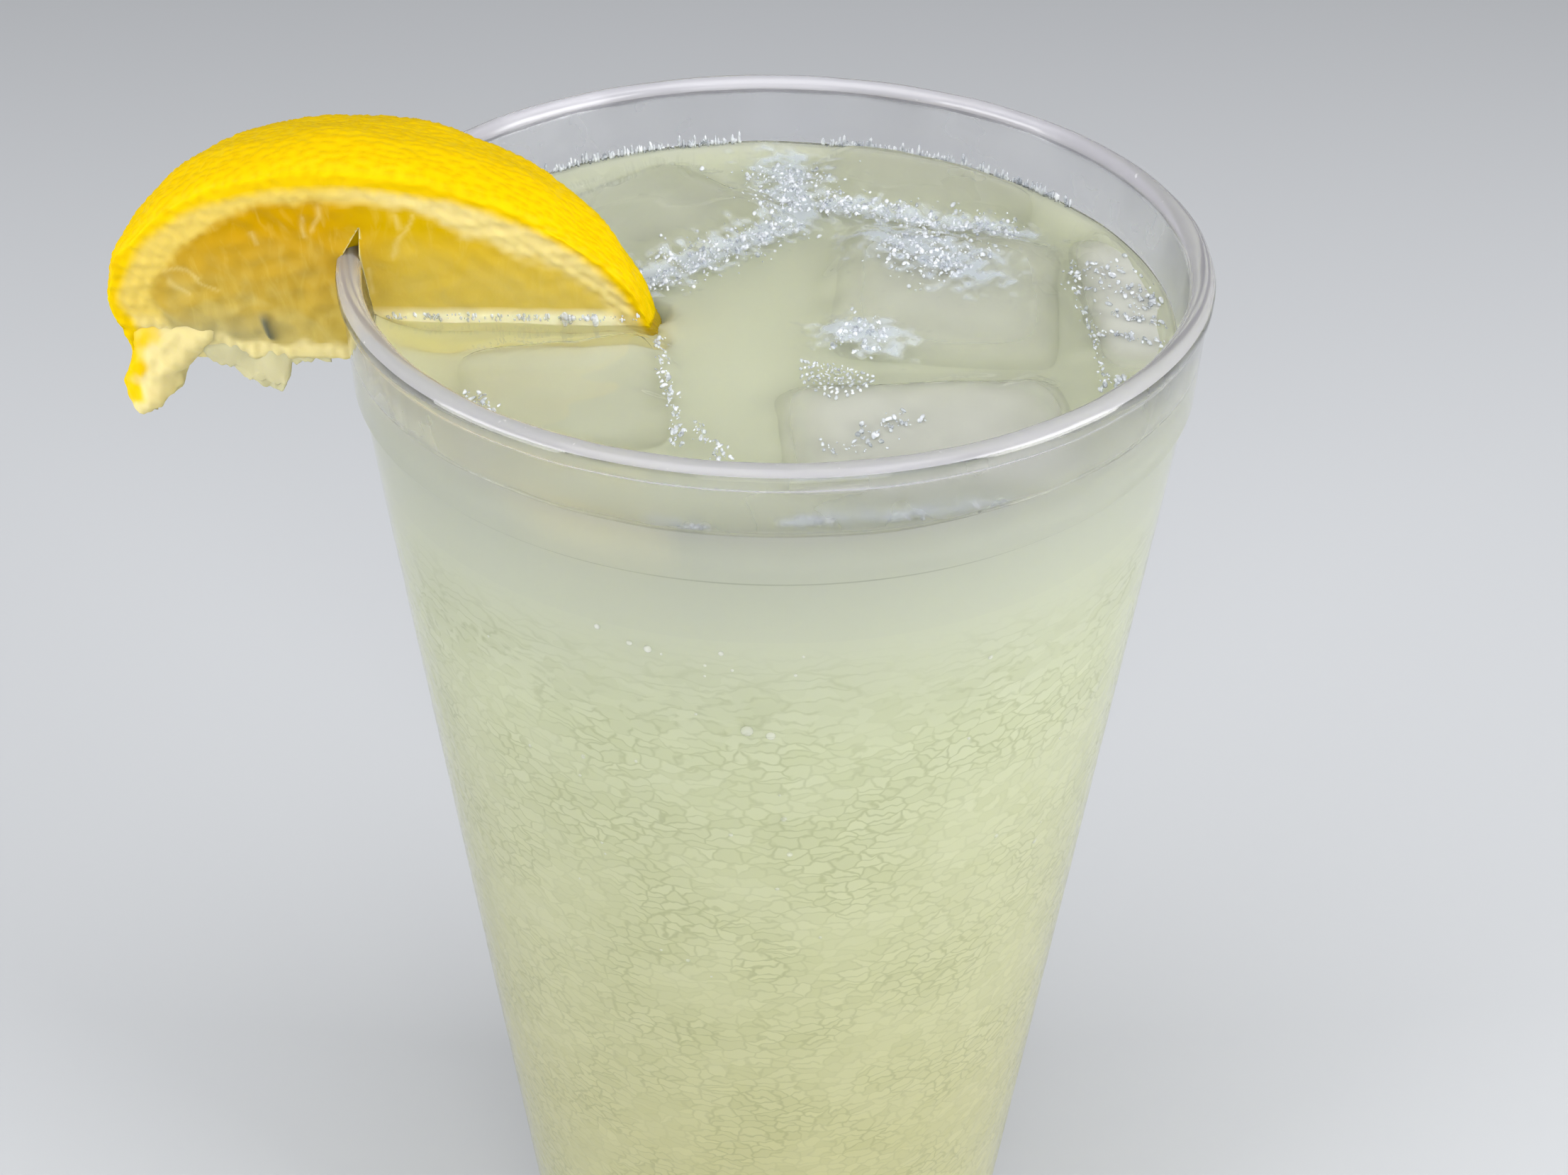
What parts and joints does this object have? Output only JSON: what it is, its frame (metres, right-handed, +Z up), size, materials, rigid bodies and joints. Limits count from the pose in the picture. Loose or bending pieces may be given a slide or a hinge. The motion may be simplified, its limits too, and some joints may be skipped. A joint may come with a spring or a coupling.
{
  "type": "tumbler of iced lemonade",
  "caption": "Tall clear plastic tumbler with a rounded rim and stacking step, filled with cloudy lemonade and floating ice, a lemon wedge slit onto its rim.",
  "frame": {"origin": "centre of the tumbler's flat underside", "axes": "+Z up along the tumbler's axis, the lemon wedge at -X, its cut face towards -Y"},
  "size_m": [0.1157, 0.09, 0.1762],
  "materials": {
    "clear_plastic": "clear moulded plastic, pebbled outside below the rim band",
    "lemonade": "cloudy pale yellow-green drink",
    "ice": "wet melting ice with trapped bubbles",
    "lemon": "pored yellow rind, cream pith and translucent golden flesh"
  },
  "bodies": {
    "root": {"tumbler": "clear_plastic", "lemonade": "lemonade", "ice_front_left": "ice", "ice_middle": "ice", "ice_right": "ice", "ice_back_left": "ice", "ice_back_right": "ice", "ice_front_right": "ice", "lemon_wedge": "lemon"}
  },
  "joints": []
}
